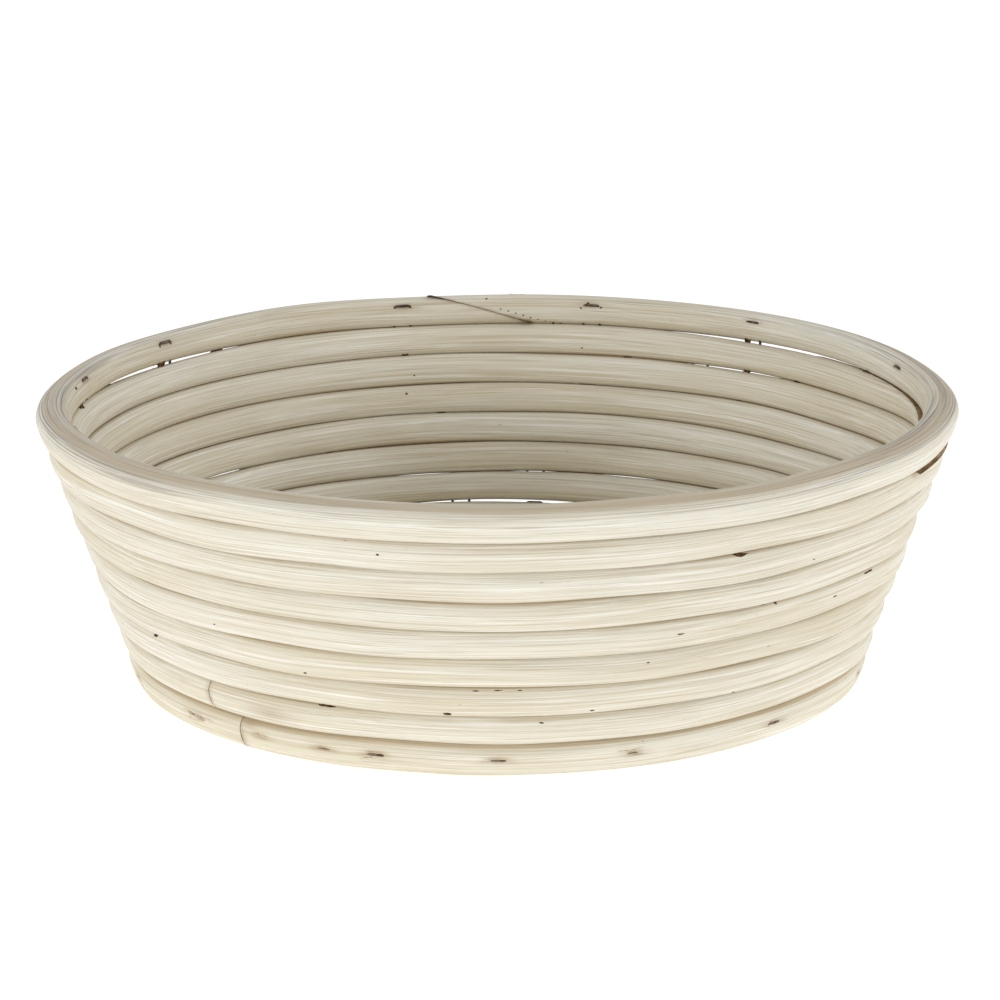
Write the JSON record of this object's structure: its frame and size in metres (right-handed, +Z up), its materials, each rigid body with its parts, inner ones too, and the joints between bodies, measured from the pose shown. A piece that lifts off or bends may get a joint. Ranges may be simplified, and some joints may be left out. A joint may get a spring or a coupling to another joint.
{
  "type": "banneton basket",
  "caption": "Round proofing basket coiled from natural rattan cane, with flared ribbed walls, a closed rim hoop and a flat base, stapled with fine wire.",
  "frame": {"origin": "middle of the underside, on the surface that the basket stands on", "axes": "+Z up through the mouth of the basket, +Y towards the rim's scarf joint, +X towards the pared ends of the wall cane"},
  "size_m": [0.25, 0.25, 0.0768],
  "materials": {
    "cane": "matte",
    "staple_wire": "satin"
  },
  "bodies": {
    "root": {"base_coil": "cane", "foot_ring": "cane", "wall_cane_start": "cane", "wall_cane": "cane", "rim_hoop": "cane", "base_staples": "staple_wire", "foot_staples": "staple_wire", "rim_staples": "staple_wire", "wall_staples_1": "staple_wire", "wall_staples_2": "staple_wire", "wall_staples_3": "staple_wire", "wall_staples_4": "staple_wire", "wall_staples_5": "staple_wire", "wall_staples_6": "staple_wire", "wall_staples_7": "staple_wire"}
  },
  "joints": []
}
